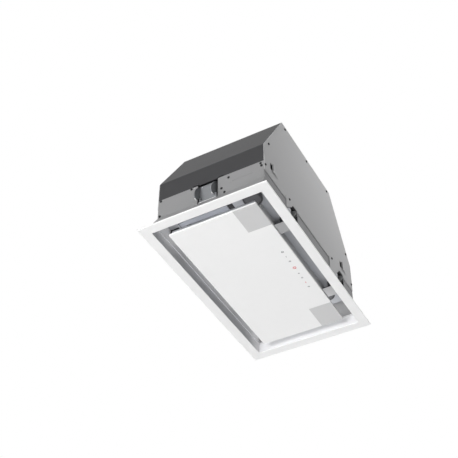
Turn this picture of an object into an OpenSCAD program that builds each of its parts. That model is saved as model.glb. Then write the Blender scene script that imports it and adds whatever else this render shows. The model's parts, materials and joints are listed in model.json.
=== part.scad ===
// Canopy hood for building into a cupboard: a trim frame, a recess with a hinged glass panel
// and a suction slot all round it, and a blower in a folded steel housing with a duct spigot.
// X runs along the hood, -Y is the side that the cook stands at, and Z is up.
// The origin is the middle of the trim frame's underside. Sizes are millimetres.

/* [Trim frame] */
// Length over the frame
frame_l = 520; // [512:2:560]
// Width over the frame
frame_w = 296; // [292:2:330]
// Width of the ring that shows
frame_rim = 22; // [21:0.5:25]
// Thickness of the ring
ring_t = 1.5; // [1.2:0.1:2]
// Height of the hem that seats against the cupboard floor
hem_h = 3; // [2.8:0.1:5]
// Width of the hem
hem_w = 9; // [5:0.5:11]

/* [Recess] */
// Height of the collar above the underside
collar_h = 27; // [22:1:30]
// Width of the collar's flange on the trim frame
collar_flange = 8; // [5:0.5:9]
// Width of the suction slot at the ends
slot_end_w = 24; // [20:0.5:26]
// Width of the suction slot along the sides
slot_side_w = 25; // [23:0.5:27]
// Height of the ceiling over the recess
ceiling_z = 60; // [58:0.5:60.5]

/* [Glass panel] */
// Thickness of the glass
glass_t = 4; // [3:0.5:5]
// Height of the glass above the underside of the frame
glass_z = 2.2; // [1:0.2:3]
// Radius of the glass's corners
glass_corner = 2; // [1:0.5:6]
// How far the carrier stays inside the glass
carrier_inset = 4.8; // [4:0.2:6]
// Height of the carrier tray
carrier_h = 9.8; // [8:0.2:10.4]

/* [Housing] */
// How far the housing's ends stand in from the recess
end_step = 15; // [13:0.5:17]
// Height of the housing's top
body_h = 317; // [312:1:345]
// Height where the dark shell starts
shell_z = 104.5; // [104:0.5:108]
// Height where the ends start to slope in
shoulder_z = 154; // [150:1:160]
// Length of the flat top
top_l = 256; // [250:2:276]
// Thickness of the sheet steel
sheet = 1.2; // [1:0.1:1.4]
// Height where the end walls meet their flare
flare_z = 53; // [50:0.5:54]
// Height of the side panels' lower edge
seam_z = 79; // [78.5:0.5:82]
// Diameter of the screw heads
screw_head_d = 5.6; // [4:0.2:7]

/* [Outlet] */
// Outer diameter of the duct spigot
spigot_d = 149; // [146:1:155]
// Height of the spigot above the top
spigot_h = 42; // [34:1:60]
// Wall of the spigot
spigot_wall = 2; // [1.5:0.1:2.5]

/* [Blower] */
// Diameter of the impeller
wheel_d = 150; // [142:2:152]
// Width of the impeller
wheel_w = 92; // [80:2:94]
// Number of blades
blade_count = 30; // [20:1:36]
// Diameter of the motor
motor_d = 84; // [70:2:90]
// Diameter of the motor shaft
shaft_d = 8; // [6:0.5:10]

/* [Lamps and filter] */
// Distance from the middle of a lamp to the inside of the end wall
lamp_end = 42.8; // [40.8:0.5:45.8]
// Distance from the middle of a lamp to the inside of the front wall
lamp_front = 48.1; // [47.6:0.5:50.1]
// Diameter of the lamp's bezel
lamp_d = 42; // [38:1:42]
// Room between the grease filter and the inside of the end wall
filter_end = 39.3; // [38.8:0.5:46.8]
// Thickness of the grease filter
filter_t = 11; // [10:0.5:12]
// Travel of the filter latch
latch_travel = 6; // [5:0.5:7]

/* [Clamps] */
// Height of the end clamps' pivot
pivot_z = 96; // [95:0.5:97]
// How far the end clamps stand proud
wing_out = 20.5; // [17:0.5:21]
// How far the side claws stand proud
claw_out = 4; // [2.5:0.5:4.5]
// Diameter of the pivot pins
pin_d = 4; // [3:0.2:4.4]

/* [Hidden] */
$fn = 64;

// How far a cut runs past the solid that it cuts
over = 1;
// Gap between pieces that lie side by side
gap = 0.3;
// Gap round a pin or shaft that turns
run_gap = 0.05;
pin_r = pin_d / 2;
turn = 360;
quarter = turn / 4;

// Planes of the recess and the housing, measured from the middle
open_l = frame_l - 2 * frame_rim;
open_w = frame_w - 2 * frame_rim;
side_step = 0.5;
tray_down = 4.5;
body_l = open_l - 2 * end_step;
side_y = open_w / 2 + side_step;
tray_y = side_y - sheet;
in_y = tray_y - sheet;
end_x = body_l / 2;
in_x = end_x - sheet;
slope = atan2(end_x - top_l / 2, body_h - shoulder_z);
tray_top = shell_z - tray_down;
collar_lip = 2 * sheet;
lamp_x = in_x - lamp_end;
lamp_y = in_y - lamp_front;
filter_l = 2 * (in_x - filter_end);

// Folded edges where sheets meet
flange_w = 12;
lap = 9;
lap_side = 2;

// Screws
head_h = 1.8;
screw_r = 1.5;
screw_hole_r = screw_r + 2 * run_gap;
grip = 2 * sheet + screw_r;
top_screw_down = 9;
top_screw_in = 16;
shoulder_screw_in = 9.3;
shoulder_screw_up = 21;
low_screw_in = 5;
low_screw_down = 8.5;
tab_a_screw = 24.5;
tab_b_screw = 49.5;
tab_screw_down = 13;

// Side claws: middle of each one on the front, the windows that they look out of, and the tabs
claw_x_shares = [-0.3722, 0.704];
claw_xs = [for (s = claw_x_shares) s * end_x];
window_w = 28;
window_low = 54;
window_down = 1;
window_up = 8;
window_cut = 5;
window_slant = 24;
tab_a_w = 27;
tab_a_low = 57;
tab_b_w = 48;
tab_b_low = 55;
tab_b_cut = 20;
tab_b_gap = 2;
tab_low = 46;
band_up = 5;
slit_w = 2;
slit_up = 11;

// Lanced vents in the side panels
vent_x_shares = [-0.854, 0.722];
vent_w = 9.5;
vent_h = 18;
vent_up = 9.5;
tongue_l = 28;
tongue_rise = 3;
tongue_over = 2;

// Screws on the end wall: how far in from its edges and out from the clamp's opening, and their
// heights as shares of the shell's lower edge
end_screw_in = 5.3;
end_screw_step = 2;
beside_rear = 15;
beside_near = 9;
beside_mid = 16;
beside_far = 25.5;
end_screw_shares = [0.967, 0.55, 0.971, 0.67, 0.54, 0.9, 0.947, 0.876];
pad_shares = [[-0.78, 0.77], [-0.37, 0.865]];
pad_t = 0.5;

// End clamps
clamp_mid_y = 6.5;
clamp_span = 41;
clamp_in = 9;
hub_r = 6;
cheek_t = 2;
opening_side = 2.5;
opening_near = 4.5;
opening_low = 46;
plate_in = 3.5;
plate_low = 52;
plate_h = 50;
foot_out = 0.5;
plate_hole_up = 14.4;
plate_hole_in = 5;
ear_reach = 14;
ear_h = 12;
ear_down = 6;
notch_in = 30;
notch_side = 6;
nick_w = 15;
nick_h = 3.5;
nick_in = 3.5;
flange_back = 3;
wing_steps = 16;
clamp_y0 = clamp_mid_y - clamp_span / 2;
clamp_y1 = clamp_mid_y + clamp_span / 2;
opening_y0 = clamp_y0 - opening_near;
opening_y1 = clamp_y1 + opening_side;
pivot_x = -(end_x - clamp_in);
clamp_spring_r = 3;
clamp_wire_r = 0.5;
clamp_pitch = 1.6;
clamp_turns = 6;

// Side claws
claw_in = 10;
claw_z = 61;
claw_t = 6;
nose_r = 8.3;
nose_up = 8;
claw_hub_r = 5;
cage_w = 32;
cage_depth = 26;
cage_rear_depth = 20;
cage_lip = 13;
cage_wall = 2;
cage_low = 44;
cage_h = 40;
claw_spring_r = 2.8;
claw_wire_r = 0.3;
claw_pitch = 1.1;
claw_turns = 2.5;

// Filter, its opening in the ceiling and its latch
front_w = 94;
shelf_w = 24;
rail_w = 12;
rail_h = 6;
rail_flange = 8;
filter_gap = 1;
border = 12;
front_border = 27;
mesh_inset = 1.5;
mesh_cols = 22;
mesh_rows = 9;
mesh_bar_share = 0.3;
hook_l = 30;
hook_reach = 6;
hook_t = 2;
hook_x_share = 0.22;
latch_w = 40;
latch_l = 14;
latch_h = 8;
latch_pull = 3;
bolt_w = 20;
bolt_t = 1.7;
bolt_reach = 6;
open_y0 = -in_y + front_w;
open_y1 = in_y - shelf_w;
filter_y0 = open_y0 + rail_w + filter_gap;
filter_y1 = open_y1 - filter_gap;
ceiling_top = ceiling_z + sheet;

// Wire channel, driver and lamps
channel_in = 40;
channel_w = 18;
channel_h = 16;
channel_end_gap = 5;
channel_half = lamp_x - lamp_d / 2 - channel_end_gap;
channel_y0 = -in_y + channel_in;
driver_l = 120;
driver_w = 14;
driver_h = 11;
bezel_h = 6;
neck_in = 3;
neck_h = 18;
fin_step = 5;
fin_gap = 2.5;
fin_depth = 4;
lens_t = 1.4;
lens_in = 4;
magnet_apart = 120;
magnet_w = 12;
magnet_d = 9;

// Glass panel, carrier and hinge
glass_l = open_l - 2 * slot_end_w;
glass_w = open_w - 2 * slot_side_w;
glass_top = glass_z + glass_t;
carrier_x = glass_l / 2 - carrier_inset;
carrier_y = glass_w / 2 - carrier_inset;
carrier_top = glass_top + carrier_h;
light_l = 70;
light_w = 53;
light_lip = 3;
diffuser_t = 2;
touch_l = 160;
touch_w = 14;
touch_in = 19.2;
touch_y = glass_w / 2 - touch_in;
board_t = 1.6;
board_edge = 4;
chip_h = 2.4;
chip_l = 12;
chip_w = 8;
hinge_x = (claw_xs[1] - claw_xs[0]) / 2;
hinge_y = glass_w / 2;
hinge_up = 3;
hinge_z = carrier_top + hinge_up;
knuckle_r = 4.5;
leaf_w = 20;
ear_t = 2.5;
stem_w = 12;
stem_lean = 3;
bracket_depth = 18;
bracket_flange = 32;

// Blower
scroll_wall = 2;
scroll_side_gap = 8;
scroll_room = 7;
scroll_growth = 36;
scroll_start = 80;
scroll_step = 10;
scroll_r0 = wheel_d / 2 + scroll_room;
scroll_r1 = scroll_r0 + scroll_growth;
scroll_half_w = wheel_w / 2 + scroll_side_gap;
intake_gap = 24;
scroll_low_r = scroll_radius(3 * quarter);
blower_x = -(scroll_r0 * cos(scroll_start) + scroll_r1) / 2;
blower_z = ceiling_z + intake_gap + scroll_low_r + scroll_wall;
neck_x0 = blower_x + scroll_r0 * cos(scroll_start);
neck_x1 = blower_x + scroll_r1;
neck_top = body_h - sheet;
blade_depth = 12;
blade_t = 1.2;
blade_lean = 32;
wheel_ring_t = 2;
wheel_disc_t = 2;
wheel_hub_r = 11;
wheel_hub_front = 12;
wheel_hub_rear = 4;
shaft_r = shaft_d / 2;
shaft_front = 14;
shaft_rear = 66;
inlet_in = 5;
inlet_r = wheel_d / 2 - blade_depth - inlet_in;
inlet_lip = 6;
inlet_wall = 2;
inlet_flange = 12;
inlet_t = 2;
motor_gap = 1;
motor_front = wheel_hub_rear + motor_gap;
motor_rear = scroll_half_w + scroll_wall + inlet_t;
bracket_arms = 3;
bracket_arm_w = 12;
bracket_t = 3;
bracket_boss_r = 24;

// Control box on the rear side panel
box_end = 35.8;
box_l = 90;
box_x0 = in_x - box_end - box_l;
box_up = 6;
box_h = 58;
box_depth = 47;
box_wall = 2;
lid_t = 2;
post_r = 3;
post_h = 11;
post_in = 10;
relay_l = 18;
relay_w = 14;
relay_h = 16;
capacitor_r = 15;
capacitor_h = 50;
capacitor_in = 22;

// Cable gland on the top
gland_x_share = 0.78;
gland_y_share = 0.64;
gland_r = 8;
gland_nut_r = 12;
gland_nut_h = 6;
gland_dome_r = 9.5;
gland_dome_h = 8;
gland_below = 5;
cable_r = 4;

// Outlet spigot and its flaps
spigot_flange = 13;
spigot_flange_t = 2;
flap_up = 17;
flap_z = body_h + flap_up;
flap_t = 1.5;
flap_edge_gap = 1;
flap_r = spigot_d / 2 - spigot_wall - flap_edge_gap;
ledge_w = 3.5;
ledge_t = 2;
flap_knuckle_r = 4;
flap_knuckle_gap = 0.8;
flap_knuckle_in = 11.5;
flap_knuckle_l = (flap_r - flap_knuckle_in) / 2;

// Radius of the scroll at an angle from +X
function scroll_radius(a) =
    scroll_r0 + (scroll_r1 - scroll_r0) * (a - scroll_start) / (turn - scroll_start);

// Outline of the scroll, a wall's thickness e outside the air space, up to a height
function scroll_outline(e, top) = concat(
    [for (a = [scroll_start:scroll_step:turn])
        [blower_x + (scroll_radius(a) + e) * cos(a), blower_z + (scroll_radius(a) + e) * sin(a)]],
    [[neck_x1 + e, top], [neck_x0 - e, top]]);

// Outline of the folded shell, seen along Y, set in from its outer face, from a lower edge up
function shell_outline(inset, low) = [
    [-end_x + inset, low], [end_x - inset, low],
    [end_x - inset, shoulder_z - inset * tan(slope / 2)],
    [top_l / 2 - inset * tan((quarter - slope) / 2), body_h - inset],
    [-top_l / 2 + inset * tan((quarter - slope) / 2), body_h - inset],
    [-end_x + inset, shoulder_z - inset * tan(slope / 2)]];

// Screw places on a long side, [x, z]
side_screws = concat([[0, body_h - top_screw_down],
    [claw_xs[0] - tab_a_screw, shell_z - tab_screw_down],
    [claw_xs[1] - tab_b_screw, shell_z - tab_screw_down]],
    [for (s = [-1, 1]) each [
        [s * (top_l / 2 - top_screw_in), body_h - top_screw_down],
        [s * (end_x - shoulder_screw_up * tan(slope) - shoulder_screw_in / cos(slope)),
            shoulder_z + shoulder_screw_up],
        [s * (end_x - low_screw_in), shell_z - low_screw_down]]]);

// Screw places on an end, [y, z]
end_screw_ys = [tray_y - end_screw_in, tray_y - end_screw_in, opening_y1 + beside_rear,
    opening_y0 - beside_near, opening_y0 - beside_mid, opening_y0 - beside_far,
    -tray_y + end_screw_in + end_screw_step, -tray_y + end_screw_in];
end_screws = [for (i = [0:7]) [end_screw_ys[i], end_screw_shares[i] * shell_z]];

// Points of a coil's tube: rings of sides round a helix along Z
coil_rings = 8;
coil_sides = 6;
function coil_centre(r, pitch, i) =
    [r * cos(turn * i / coil_rings), r * sin(turn * i / coil_rings), pitch * i / coil_rings];
function coil_points(r, wire_r, pitch, turns) = [
    for (i = [0:turns * coil_rings]) for (j = [0:coil_sides - 1])
        coil_centre(r, pitch, i)
        + wire_r * cos(turn * j / coil_sides)
            * [cos(turn * i / coil_rings), sin(turn * i / coil_rings), 0]
        + wire_r * sin(turn * j / coil_sides) * [0, 0, 1]];
function least_gap(r, wire_r, pitch, turns) = min([
    for (i = [0:(turns - 1) * coil_rings])
        norm(coil_centre(r, pitch, i + coil_rings) - coil_centre(r, pitch, i)) - 2 * wire_r]);
echo("least gap in the end clamps' springs",
    least_gap(clamp_spring_r, clamp_wire_r, clamp_pitch, clamp_turns));
echo("least gap in the claws' springs",
    least_gap(claw_spring_r, claw_wire_r, claw_pitch, claw_turns));

// A box from its lowest to its highest corner
module block(low, high) {
    translate(low) cube(high - low);
}

// A plate with rounded corners, its middle at the origin
module rounded_plate(l, w, t, r) {
    linear_extrude(t) union() {
        square([l - 2 * r, w], center = true);
        square([l, w - 2 * r], center = true);
        for (x = [-1, 1]) for (y = [-1, 1])
            translate([x * (l / 2 - r), y * (w / 2 - r)]) circle(r);
    }
}

// A flat ring of walls round an opening, from one height to another
module wall_ring(l, w, wall, z0, z1) {
    difference() {
        block([-l / 2 - wall, -w / 2 - wall, z0], [l / 2 + wall, w / 2 + wall, z1]);
        block([-l / 2, -w / 2, z0 - over], [l / 2, w / 2, z1 + over]);
    }
}

// An outline drawn in X and Z, from y0 to y1
module along_y(points, y0, y1) {
    translate([0, y1, 0]) rotate([quarter, 0, 0]) linear_extrude(y1 - y0) polygon(points);
}

// A rod along Y or along X
module rod_y(r, x, z, y0, y1) {
    translate([x, y1, z]) rotate([quarter, 0, 0]) cylinder(r = r, h = y1 - y0);
}
module rod_x(r, y, z, x0, x1) {
    translate([x0, y, z]) rotate([0, quarter, 0]) cylinder(r = r, h = x1 - x0);
}

// The same piece on the other side, turned half round
module turned() {
    rotate([0, 0, 2 * quarter]) children();
}

// A tube wound along Z
module coil(r, wire_r, pitch, turns) {
    rings = turns * coil_rings;
    last = rings * coil_sides;
    sides = concat([for (i = [0:rings - 1]) for (j = [0:coil_sides - 1])
        let (a = i * coil_sides + j, b = i * coil_sides + (j + 1) % coil_sides)
        each [[a, b, b + coil_sides], [a, b + coil_sides, a + coil_sides]]]);
    ends = [for (j = [1:coil_sides - 2]) each [[0, j + 1, j], [last, last + j, last + j + 1]]];
    polyhedron(coil_points(r, wire_r, pitch, turns), concat(sides, ends));
}

// White ring that shows under the cupboard, with a hem that seats on the cupboard floor
module trim_frame() {
    color([0.93, 0.93, 0.93]) union() {
        wall_ring(open_l, open_w, frame_rim, 0, ring_t);
        wall_ring(frame_l - 2 * hem_w, frame_w - 2 * hem_w, hem_w, 0, hem_h);
    }
}

// Stainless collar: a flange on the trim frame, four walls and a narrow lip at the top
module recess_collar() {
    color([0.6, 0.61, 0.63]) union() {
        wall_ring(open_l, open_w, collar_flange, ring_t, ring_t + sheet);
        wall_ring(open_l, open_w, sheet, ring_t, collar_h);
        difference() {
            block([-open_l / 2 - sheet / 2, -open_w / 2 - sheet / 2, collar_h - sheet],
                [open_l / 2 + sheet / 2, open_w / 2 + sheet / 2, collar_h]);
            block([-open_l / 2 + collar_lip, -in_y, collar_h - sheet - over],
                [open_l / 2 - collar_lip, in_y, collar_h + over]);
        }
    }
}

// Holes for the screws of a long side, on the front
module side_screw_holes() {
    for (p = side_screws) rod_y(screw_hole_r, p[0], p[1], -side_y - over, -in_y + over);
}

// Holes for the screws of an end, on the left
module end_screw_holes() {
    for (p = end_screws) rod_x(screw_hole_r, p[0], p[1], -end_x - over, -in_x + grip);
}

// Lower end wall with its flare, a lap behind the shell and the opening for the end clamp
module end_wall() {
    color([0.62, 0.63, 0.64]) difference() {
        union() {
            along_y([[-open_l / 2 - sheet, collar_h], [-open_l / 2, collar_h], [-in_x, flare_z],
                [-in_x, shell_z], [-end_x, shell_z], [-end_x, flare_z]], -tray_y, tray_y);
            block([-in_x - sheet / 2, -in_y + lap_side, shell_z - lap],
                [-in_x + sheet, in_y - lap_side, shell_z - gap]);
            block([-in_x, -in_y + lap_side, shell_z - lap],
                [-in_x + sheet, in_y - lap_side, shell_z + lap]);
            block([-end_x - pad_t, pad_shares[0][0] * tray_y, pad_shares[0][1] * shell_z],
                [-end_x + sheet / 2, pad_shares[1][0] * tray_y, pad_shares[1][1] * shell_z]);
            for (y = [opening_y0 - cheek_t, opening_y1])
                block([-in_x - sheet / 2, y, pivot_z - ear_down],
                    [-in_x + ear_reach, y + cheek_t, pivot_z - ear_down + ear_h]);
        }
        block([-open_l / 2 - over - sheet, opening_y0, opening_low],
            [-in_x + sheet + over, opening_y1, shell_z + lap + over]);
        block([-in_x, opening_y0 - nick_w, shell_z - over],
            [-in_x + sheet + over, opening_y1 + nick_w - nick_in, shell_z + lap + over]);
        rod_y(pin_r, pivot_x, pivot_z, opening_y0 - cheek_t - over, opening_y1 + cheek_t + over);
        end_screw_holes();
    }
}

// Outline of a claw's window, with a sloping start on the left
function claw_window(x) = let(x0 = x - window_w / 2, x1 = x + window_w / 2) [
    [x0 - window_slant, window_low], [x1, window_low], [x1, seam_z + window_up - window_cut],
    [x1 - window_cut, seam_z + window_up], [x0 + window_cut, seam_z + window_up],
    [x0, seam_z - window_down], [x0 - window_slant, window_low + window_down]];

// Inner wall under the long side panel, with windows for the claws
module tray_wall() {
    color([0.56, 0.57, 0.58]) difference() {
        along_y([[-open_l / 2, collar_h], [open_l / 2, collar_h], [in_x, flare_z],
            [in_x, tray_top], [-in_x, tray_top], [-in_x, flare_z]], -tray_y, -in_y);
        for (x = claw_xs) along_y(claw_window(x), -tray_y - over, -in_y + over);
        side_screw_holes();
    }
}

// Long side panel: the whole profile, with two tabs at its lower edge and two lanced vents
module side_panel() {
    a1 = claw_xs[0] - window_w / 2;
    a0 = a1 - tab_a_w;
    b1 = claw_xs[1] - window_w / 2 - tab_b_gap;
    b0 = b1 - tab_b_w;
    shell = shell_outline(0, seam_z);
    low_edge = [[-end_x, seam_z], [a0 - slit_w, seam_z], [a0 - slit_w, seam_z + slit_up],
        [a0, seam_z + slit_up], [a0, tab_a_low], [a1, seam_z - window_down],
        [a1 + window_cut, seam_z + window_up], [a1 + window_w - window_cut, seam_z + window_up],
        [a1 + window_w, seam_z + band_up], [b0 - slit_w, seam_z + band_up],
        [b0 - slit_w, seam_z + slit_up], [b0, seam_z + slit_up], [b0, tab_low],
        [b1 - tab_b_cut, tab_low], [b1 - tab_b_cut, tab_b_low], [b1, seam_z - window_down],
        [b1 + tab_b_gap + window_cut, seam_z + window_up],
        [b1 + tab_b_gap + window_w - window_cut, seam_z + window_up],
        [b1 + tab_b_gap + window_w, seam_z]];
    vent_z = shell_z + vent_up;
    color([0.7, 0.7, 0.71]) difference() {
        union() {
            along_y(concat(low_edge, [for (i = [1:5]) shell[i]]), -side_y, -tray_y);
            for (s = vent_x_shares)
                translate([s * end_x + vent_w / 2, -side_y, vent_z - vent_h / 2 - tongue_over])
                    linear_extrude(vent_h + 2 * tongue_over)
                        polygon([[0, sheet / 2], [0, -tongue_rise], [tongue_l, 0],
                            [tongue_l, sheet / 2]]);
        }
        for (s = vent_x_shares)
            block([s * end_x - vent_w / 2, -side_y - over, vent_z - vent_h / 2],
                [s * end_x + vent_w / 2, -tray_y + over, vent_z + vent_h / 2]);
        side_screw_holes();
    }
}

// Dark folded shell: two end faces, two slopes and the top, with flanges behind the panels
module upper_shell() {
    color([0.33, 0.33, 0.34]) difference() {
        along_y(shell_outline(0, shell_z), -tray_y, tray_y);
        along_y(shell_outline(sheet, shell_z - over), -in_y, in_y);
        along_y(shell_outline(sheet + flange_w, shell_z - over), -tray_y - over, tray_y + over);
        block([neck_x0, -scroll_half_w, body_h - sheet - over],
            [neck_x1, scroll_half_w, body_h + over]);
        translate([gland_x_share * top_l / 2, gland_y_share * in_y, body_h - sheet - over])
            cylinder(r = gland_r, h = sheet + 2 * over);
        side_screw_holes();
        turned() side_screw_holes();
        shell_nicks();
        turned() shell_nicks();
    }
}

// Two nicks in the shell's lower edge, beside the end clamp's opening
module shell_nicks() {
    for (y0 = [opening_y0 - nick_w, opening_y1 - nick_in])
        block([-end_x - over, y0, shell_z - over], [-in_x + over, y0 + nick_w, shell_z + nick_h]);
}

// Where the ceiling gives way to a claw's cage
module cage_notch(x, depth) {
    block([x - cage_w / 2 - gap, -in_y - over, ceiling_z - over],
        [x + cage_w / 2 + gap, -in_y + depth + gap, ceiling_z + border + over]);
}

// Ceiling of the recess, open for the filter, with folds up along both long edges
module ceiling_plate() {
    color([0.64, 0.65, 0.66]) difference() {
        union() {
            block([-in_x, -in_y, ceiling_z], [in_x, in_y, ceiling_top]);
            for (y = [-in_y, in_y - sheet])
                block([-in_x, y, ceiling_z], [in_x, y + sheet, ceiling_z + border]);
        }
        block([-filter_l / 2 - filter_gap, open_y0, ceiling_z - over],
            [filter_l / 2 + filter_gap, open_y1, ceiling_top + over]);
        for (s = [-1, 1])
            translate([s * lamp_x, -lamp_y, ceiling_z - over])
                cylinder(r = lamp_d / 2 - neck_in + gap, h = sheet + 2 * over);
        for (x = claw_xs) {
            cage_notch(x, cage_depth);
            turned() cage_notch(x, cage_rear_depth);
        }
        clamp_notch();
        turned() clamp_notch();
    }
}

// Where the ceiling gives way to the end clamp on the left
module clamp_notch() {
    block([-in_x - over, opening_y0 - notch_side, ceiling_z - over],
        [-end_x + notch_in, opening_y1 + notch_side, ceiling_top + over]);
}

// Dark channel under the ceiling that covers the leads between the lamps
module wire_channel() {
    color([0.3, 0.3, 0.31]) difference() {
        block([-channel_half, channel_y0, ceiling_z - channel_h],
            [channel_half, channel_y0 + channel_w, ceiling_z]);
        block([-channel_half + sheet, channel_y0 + sheet, ceiling_z - channel_h + sheet],
            [channel_half - sheet, channel_y0 + channel_w - sheet, ceiling_z + over]);
    }
}

// Supply for the lamps, lying in the channel
module led_driver() {
    color([0.9, 0.9, 0.88])
        translate([0, channel_y0 + channel_w / 2, ceiling_z - channel_h + sheet])
            rounded_plate(driver_l, driver_w, driver_h, board_edge);
}

// Dark rail that the filter's latch closes on
module latch_rail() {
    color([0.2, 0.2, 0.21]) union() {
        block([-filter_l / 2, open_y0, ceiling_z], [filter_l / 2, open_y0 + rail_w, ceiling_z + rail_h]);
        block([-filter_l / 2, open_y0 - rail_flange, ceiling_top],
            [filter_l / 2, open_y0 + over, ceiling_top + sheet]);
    }
}

// Frame of the grease filter, with two hooks at the back and a pocket for the latch
module filter_frame() {
    color([0.62, 0.64, 0.67]) difference() {
        union() {
            block([-filter_l / 2, filter_y0, ceiling_z], [filter_l / 2, filter_y1, ceiling_z + filter_t]);
            for (s = [-1, 1])
                translate([s * hook_x_share * filter_l / 2, 0, 0])
                    block([-hook_l / 2, filter_y1 - over, ceiling_top + gap],
                        [hook_l / 2, filter_y1 + hook_reach, ceiling_top + gap + hook_t]);
        }
        block([-filter_l / 2 + border, filter_y0 + front_border, ceiling_z - over],
            [filter_l / 2 - border, filter_y1 - border, ceiling_z + filter_t + over]);
        block([-latch_w / 2 - gap, filter_y0 - over, ceiling_z - over],
            [latch_w / 2 + gap, filter_y0 + over + latch_l + latch_travel + gap,
                ceiling_z + latch_h + gap]);
    }
}

// Aluminium mesh in the filter's frame
module filter_mesh() {
    l = filter_l - 2 * border;
    w = filter_y1 - border - filter_y0 - front_border;
    col = l / mesh_cols;
    row = w / mesh_rows;
    color([0.66, 0.68, 0.71])
        translate([-l / 2, filter_y0 + front_border, ceiling_z + mesh_inset])
            linear_extrude(filter_t - 2 * mesh_inset) difference() {
                square([l, w]);
                for (i = [0:mesh_cols - 1]) for (j = [0:mesh_rows - 1])
                    translate([(i + mesh_bar_share / 2) * col, (j + mesh_bar_share / 2) * row])
                        square([(1 - mesh_bar_share) * col, (1 - mesh_bar_share) * row]);
            }
}

// Sliding latch in the front of the filter's frame
module filter_latch() {
    color([0.15, 0.15, 0.16]) union() {
        block([-latch_w / 2, filter_y0 + over, ceiling_z - latch_pull],
            [latch_w / 2, filter_y0 + over + latch_l, ceiling_z + latch_h]);
        block([-bolt_w / 2, filter_y0 - bolt_reach, ceiling_z + latch_h - bolt_t],
            [bolt_w / 2, filter_y0 + latch_l / 2, ceiling_z + latch_h]);
    }
}

// Round lamp: a bezel under the ceiling and a finned body above it
module led_lamp(s) {
    r = lamp_d / 2;
    color([0.25, 0.25, 0.26]) translate([s * lamp_x, -lamp_y, ceiling_z]) difference() {
        union() {
            translate([0, 0, -bezel_h]) cylinder(r = r, h = bezel_h);
            translate([0, 0, -over]) cylinder(r = r - neck_in, h = neck_h + over);
        }
        translate([0, 0, -bezel_h - over]) cylinder(r = r - lens_in + gap, h = lens_t + over);
        for (z = [fin_step:fin_step:neck_h - fin_gap])
            translate([0, 0, z]) difference() {
                cylinder(r = r, h = fin_gap);
                translate([0, 0, -over]) cylinder(r = r - neck_in - fin_depth, h = fin_gap + 2 * over);
            }
    }
}

module lamp_lens(s) {
    color([0.9, 0.9, 0.85]) translate([s * lamp_x, -lamp_y, ceiling_z - bezel_h])
        cylinder(r = lamp_d / 2 - lens_in, h = lens_t);
}

// Half of the scroll: side wall with the inlet hole, and half of the rim and neck
module scroll_half() {
    color([0.2, 0.2, 0.21]) difference() {
        along_y(scroll_outline(scroll_wall, neck_top), -scroll_half_w - scroll_wall, 0);
        along_y(scroll_outline(0, neck_top + over), -scroll_half_w, over);
        rod_y(inlet_r + gap, blower_x, blower_z, -scroll_half_w - scroll_wall - over, 0);
    }
}

// Ring round an inlet: a flange outside the scroll and a lip into it
module inlet_ring() {
    y = -scroll_half_w - scroll_wall;
    color([0.75, 0.75, 0.76]) difference() {
        union() {
            rod_y(inlet_r + inlet_flange, blower_x, blower_z, y - inlet_t, y);
            rod_y(inlet_r, blower_x, blower_z, y - inlet_t, y + inlet_lip);
        }
        rod_y(inlet_r - inlet_wall, blower_x, blower_z, y - inlet_t - over, y + inlet_lip + over);
    }
}

// Double inlet fan wheel: a middle disc with a hub, blades and a ring at each end
module impeller() {
    r = wheel_d / 2;
    color([0.12, 0.12, 0.13]) translate([blower_x, 0, blower_z]) rotate([quarter, 0, 0])
        difference() {
            union() {
                translate([0, 0, -wheel_disc_t / 2]) cylinder(r = r, h = wheel_disc_t);
                translate([0, 0, -wheel_hub_rear])
                    cylinder(r = wheel_hub_r, h = wheel_hub_rear + wheel_hub_front);
                for (z = [-wheel_w / 2, wheel_w / 2 - wheel_ring_t])
                    translate([0, 0, z]) difference() {
                        cylinder(r = r, h = wheel_ring_t);
                        translate([0, 0, -over])
                            cylinder(r = r - blade_depth, h = wheel_ring_t + 2 * over);
                    }
                for (i = [0:blade_count - 1])
                    rotate([0, 0, i * turn / blade_count])
                        translate([r - blade_depth / 2, 0, -wheel_w / 2 + wheel_ring_t / 2])
                            rotate([0, 0, blade_lean]) translate([-blade_depth / 2, -blade_t / 2, 0])
                                cube([blade_depth, blade_t, wheel_w - wheel_ring_t]);
            }
            translate([0, 0, -wheel_w]) cylinder(r = shaft_r, h = 2 * wheel_w);
        }
}

module motor_shaft() {
    color([0.75, 0.75, 0.76]) rod_y(shaft_r, blower_x, blower_z, -shaft_front, shaft_rear);
}

// Motor that stands in the rear half of the wheel
module motor() {
    color([0.4, 0.4, 0.42]) difference() {
        union() {
            rod_y(motor_d / 2, blower_x, blower_z, motor_front + bracket_t, motor_rear);
            rod_y(bracket_boss_r, blower_x, blower_z, motor_front, motor_rear);
        }
        rod_y(shaft_r + run_gap, blower_x, blower_z, motor_front - over, motor_rear + over);
    }
}

// Three-armed bracket that holds the motor on the rear inlet ring
module motor_bracket() {
    color([0.55, 0.55, 0.56]) difference() {
        union() {
            rod_y(bracket_boss_r, blower_x, blower_z, motor_rear, motor_rear + bracket_t);
            for (i = [0:bracket_arms - 1])
                translate([blower_x, motor_rear, blower_z])
                    rotate([0, i * turn / bracket_arms + quarter, 0])
                        block([0, 0, -bracket_arm_w / 2],
                            [inlet_r + inlet_flange - over, bracket_t, bracket_arm_w / 2]);
        }
        rod_y(shaft_r + over, blower_x, blower_z, motor_rear - over, motor_rear + bracket_t + over);
    }
}

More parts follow.
